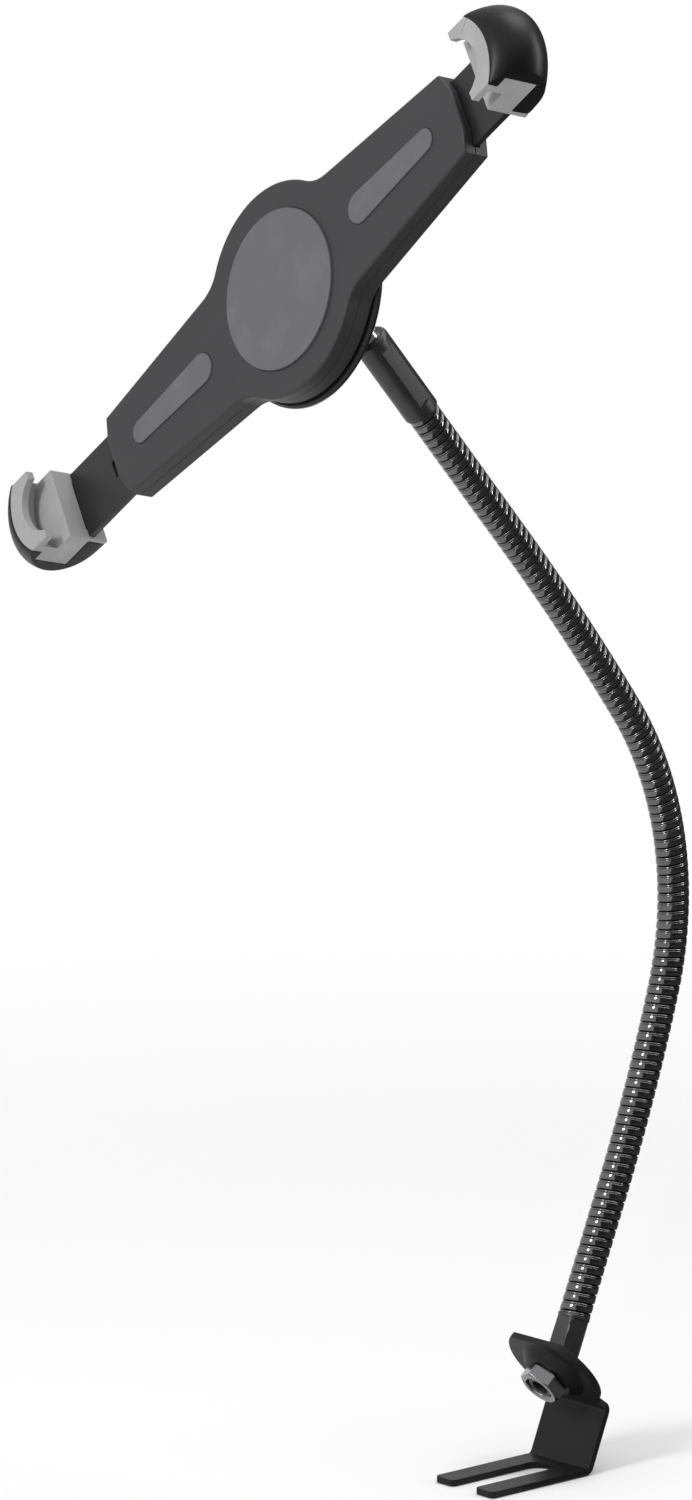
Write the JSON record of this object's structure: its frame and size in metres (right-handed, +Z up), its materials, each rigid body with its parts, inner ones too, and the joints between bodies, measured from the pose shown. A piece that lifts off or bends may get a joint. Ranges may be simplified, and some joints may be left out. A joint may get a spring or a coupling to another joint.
{
  "type": "seat rail tablet mount",
  "caption": "Forked steel seat rail bracket with a bendable gooseneck, ball joint and diagonal spring loaded cradle that holds a tablet by opposite corners.",
  "frame": {"origin": "centre of the fork slot's round end, on the underside of the fork", "axes": "+Z up, +Y towards the back of the bracket's upright, the tines point to -Y and the cradle faces -Y, X across"},
  "size_m": [0.2966, 0.2731, 0.6611],
  "materials": {
    "coated_steel": "satin black coat on steel",
    "zinc_steel": "bright zinc",
    "neck_metal": "glossy black plated strip",
    "sleeve_metal": "dark satin",
    "ball_steel": "bright, turned",
    "seat_nylon": "plain nylon",
    "swivel_plastic": "polished black",
    "collar_plastic": "fine grain",
    "housing_plastic": "fine grain, dark grey",
    "slider_plastic": "satin black",
    "jaw_plastic": "polished black",
    "grip_rubber": "soft grey rubber",
    "pad_rubber": "dark grey rubber",
    "spring_steel": "oiled spring wire",
    "black_screw": "blackened steel"
  },
  "bodies": {
    "bracket": {"seat_rail_bracket": "coated_steel", "plain_washer": "zinc_steel"},
    "neck_base": {"lower_ferrule": "sleeve_metal", "hex_nut": "zinc_steel", "gooseneck_section_1": "neck_metal"},
    "neck_second": {"gooseneck_section_2": "neck_metal"},
    "neck_third": {"gooseneck_section_3": "neck_metal"},
    "neck_fourth": {"gooseneck_section_4": "neck_metal"},
    "neck_top": {"gooseneck_section_5": "neck_metal", "upper_ferrule": "sleeve_metal", "ball_stud": "ball_steel"},
    "seat": {"ball_seat": "seat_nylon"},
    "socket": {"swivel_flange": "swivel_plastic", "friction_ring": "seat_nylon", "swivel_washer": "zinc_steel", "swivel_screw": "zinc_steel"},
    "collar": {"locking_collar": "collar_plastic"},
    "cradle": {"front_housing": "housing_plastic", "rear_housing": "housing_plastic", "hub_pad": "pad_rubber", "upper_arm_pad": "pad_rubber", "lower_arm_pad": "pad_rubber", "housing_screws": "black_screw", "upper_spring": "spring_steel", "lower_spring": "spring_steel"},
    "upper_slide": {"upper_slider": "slider_plastic", "upper_jaw_shell": "jaw_plastic", "upper_jaw_liner": "grip_rubber", "upper_jaw_screws": "black_screw"},
    "lower_slide": {"lower_slider": "slider_plastic", "lower_jaw_shell": "jaw_plastic", "lower_jaw_liner": "grip_rubber", "lower_jaw_screws": "black_screw"}
  },
  "joints": [
    {"name": "neck_swivel", "type": "hinge", "parent": "bracket", "child": "neck_base", "pos_m": [0, 0.00546, 0.04267], "axis": [0, 0.7694, 0.6388], "range_deg": [-90, 90]},
    {"name": "neck_bend_1", "type": "hinge", "parent": "neck_base", "child": "neck_second", "pos_m": [0, 0.05798, 0.15632], "axis": [1, 0, 0], "range_deg": [-18, 18]},
    {"name": "neck_bend_2", "type": "hinge", "parent": "neck_second", "child": "neck_third", "pos_m": [0, 0.08119, 0.24814], "axis": [1, 0, 0], "range_deg": [-18, 18]},
    {"name": "neck_bend_3", "type": "hinge", "parent": "neck_third", "child": "neck_fourth", "pos_m": [0, 0.05272, 0.3372], "axis": [1, 0, 0], "range_deg": [-18, 18]},
    {"name": "neck_bend_4", "type": "hinge", "parent": "neck_fourth", "child": "neck_top", "pos_m": [0, -0.00756, 0.4108], "axis": [1, 0, 0], "range_deg": [-18, 18]},
    {"name": "cradle_tilt", "type": "hinge", "parent": "neck_top", "child": "seat", "pos_m": [0, -0.11634, 0.53107], "axis": [1, 0, 0], "range_deg": [-60, 12]},
    {"name": "cradle_turn", "type": "hinge", "parent": "seat", "child": "socket", "pos_m": [0, -0.11634, 0.53107], "axis": [0, 0.2082, 0.9781], "range_deg": [-25, 25]},
    {"name": "collar_turn", "type": "hinge", "parent": "socket", "child": "collar", "pos_m": [0, -0.11634, 0.53107], "axis": [-0.0563, -0.9765, 0.2079], "range_deg": [-60, 60]},
    {"name": "cradle_rotate", "type": "hinge", "parent": "socket", "child": "cradle", "pos_m": [-0.00197, -0.15052, 0.53835], "axis": [-0.0563, -0.9765, 0.2079], "continuous": true},
    {"name": "upper_jaw_slide", "type": "slide", "parent": "cradle", "child": "upper_slide", "axis": [0.7669, 0.091, 0.6353], "range_m": [-0.017, 0.015], "stiffness_N_per_m": 120, "springref_m": -0.068, "deforming": ["upper_spring"]},
    {"name": "lower_jaw_slide", "type": "slide", "parent": "cradle", "child": "lower_slide", "axis": [-0.7669, -0.091, -0.6353], "range_m": [-0.03, 0.002], "stiffness_N_per_m": 120, "springref_m": -0.081, "deforming": ["lower_spring"]}
  ]
}
